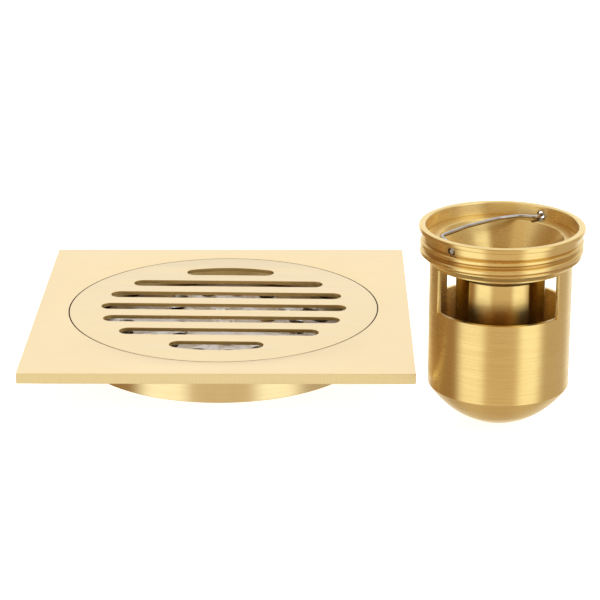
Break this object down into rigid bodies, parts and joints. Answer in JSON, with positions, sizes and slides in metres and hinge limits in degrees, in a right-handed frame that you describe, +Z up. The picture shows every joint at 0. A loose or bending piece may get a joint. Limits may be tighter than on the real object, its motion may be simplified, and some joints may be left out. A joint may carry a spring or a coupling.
{
  "type": "floor drain grate",
  "caption": "Square brass floor drain: plate with round slotted grate and strainer over a bowl, with its lift-out water-seal trap core and wire bail standing beside it.",
  "frame": {"origin": "on the drain's axis, at the underside of the bowl, which is the foot of the threaded socket that takes the trap core", "axes": "+Z up out of the socket through the grate, +X to the right along the plate's front edge, towards the side where the core stands, +Y to the back edge of the plate"},
  "size_m": [0.1409, 0.1186, 0.0508],
  "materials": {
    "plate_brass": "fine straight brushing",
    "grate_brass": "fine straight brushing",
    "bowl_brass": "turned, semi-bright",
    "core_brass": "turned, satin",
    "strainer_steel": "polished stainless steel",
    "wire_steel": "drawn stainless wire"
  },
  "bodies": {
    "frame": {"square_plate": "plate_brass", "drain_bowl": "bowl_brass"},
    "strainer": {"strainer_disc": "strainer_steel"},
    "grate": {"slotted_grate": "grate_brass"},
    "core": {"trap_body": "core_brass", "dip_tube": "core_brass"},
    "bail": {"bail_wire": "wire_steel"}
  },
  "joints": [
    {"name": "strainer_lift", "type": "slide", "parent": "frame", "child": "strainer", "axis": [0, 0, 1], "range_m": [0, 0.04]},
    {"name": "grate_lift", "type": "slide", "parent": "strainer", "child": "grate", "axis": [0, 0, 1], "range_m": [0, 0.04]},
    {"name": "core_lift", "type": "slide", "parent": "frame", "child": "core", "axis": [0, 0, 1], "range_m": [0, 0.08]},
    {"name": "bail_swing", "type": "hinge", "parent": "core", "child": "bail", "pos_m": [0.06964, -0.04761, 0.04845], "axis": [0.6293, 0.7771, 0], "range_deg": [0, 184]}
  ]
}
